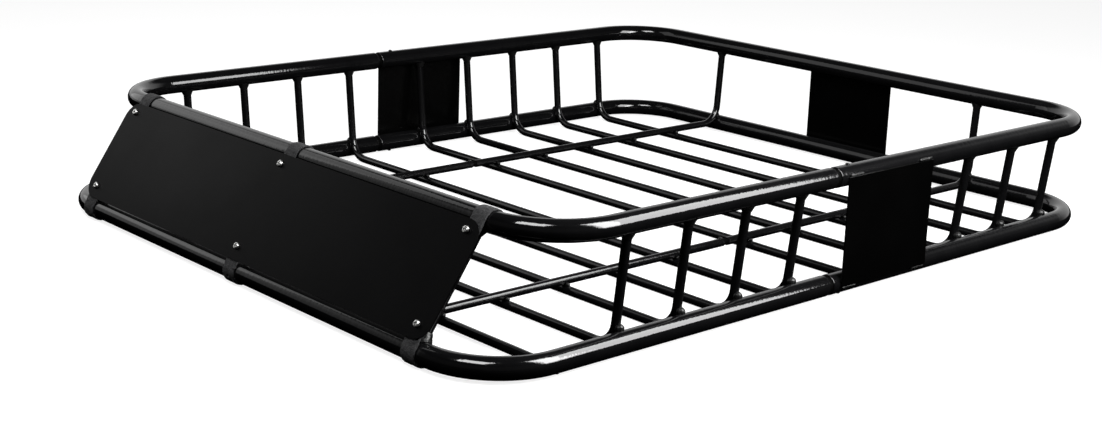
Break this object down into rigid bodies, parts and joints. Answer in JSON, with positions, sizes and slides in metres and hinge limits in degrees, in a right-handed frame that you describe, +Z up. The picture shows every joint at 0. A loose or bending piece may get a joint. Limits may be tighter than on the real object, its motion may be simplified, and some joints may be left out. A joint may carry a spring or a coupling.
{
  "type": "roof cargo basket",
  "caption": "Low open basket of bent round tube with two ring rails, barred floor, side plates and a slanted wind fairing; it carries luggage on a vehicle roof.",
  "frame": {"origin": "middle of the footprint on the plane that the basket stands on, below the floor bars and the fairing straps", "axes": "+Z up; +Y lengthwise to the rear; the wind fairing faces -Y; +X to the left-hand long side"},
  "size_m": [1.02, 1.25, 0.178],
  "materials": {
    "rail_black": "gloss black powder coat with a slight orange peel",
    "bar_black": "gloss black powder coat",
    "plate_black": "satin black powder coat",
    "fairing_black": "satin black, finely textured",
    "weld_black": "gloss black powder coat over a rough weld bead",
    "strap_grey": "matt dark grey with a fine grain",
    "sleeve_black": "satin black paint",
    "screw_black": "black painted",
    "screw_zinc": "bright zinc plate"
  },
  "bodies": {
    "root": {"front_top_rail": "rail_black", "rear_top_rail": "rail_black", "front_bottom_rail": "rail_black", "rear_bottom_rail": "rail_black", "rail_sleeve_top_left": "sleeve_black", "rail_sleeve_top_right": "sleeve_black", "rail_sleeve_bottom_left": "sleeve_black", "rail_sleeve_bottom_right": "sleeve_black", "floor_bar_1": "bar_black", "floor_bar_2": "bar_black", "floor_bar_3": "bar_black", "floor_bar_4": "bar_black", "floor_bar_5": "bar_black", "floor_bar_6": "bar_black", "floor_bar_7": "bar_black", "floor_bar_8": "bar_black", "floor_bar_9": "bar_black", "front_floor_bar": "bar_black", "runner_front_left": "bar_black", "runner_rear_left": "bar_black", "runner_spigot_left": "sleeve_black", "corner_upright_left": "bar_black", "side_plate_left": "plate_black", "runner_front_right": "bar_black", "runner_rear_right": "bar_black", "runner_spigot_right": "sleeve_black", "corner_upright_right": "bar_black", "side_plate_right": "plate_black", "rear_plate": "plate_black", "rail_joint_screws": "screw_black", "runner_joint_screws": "screw_black", "wind_fairing": "fairing_black", "strap_bottom_right": "strap_grey", "strap_bottom_centre": "strap_grey", "strap_bottom_left": "strap_grey", "strap_top_right": "strap_grey", "strap_top_centre": "strap_grey", "strap_top_left": "strap_grey", "fairing_screws": "screw_zinc", "fairing_washers": "screw_zinc", "fairing_nuts": "screw_zinc", "upright_top_welds": "weld_black", "upright_foot_welds": "weld_black", "floor_welds": "weld_black", "plate_welds": "weld_black"}
  },
  "joints": []
}
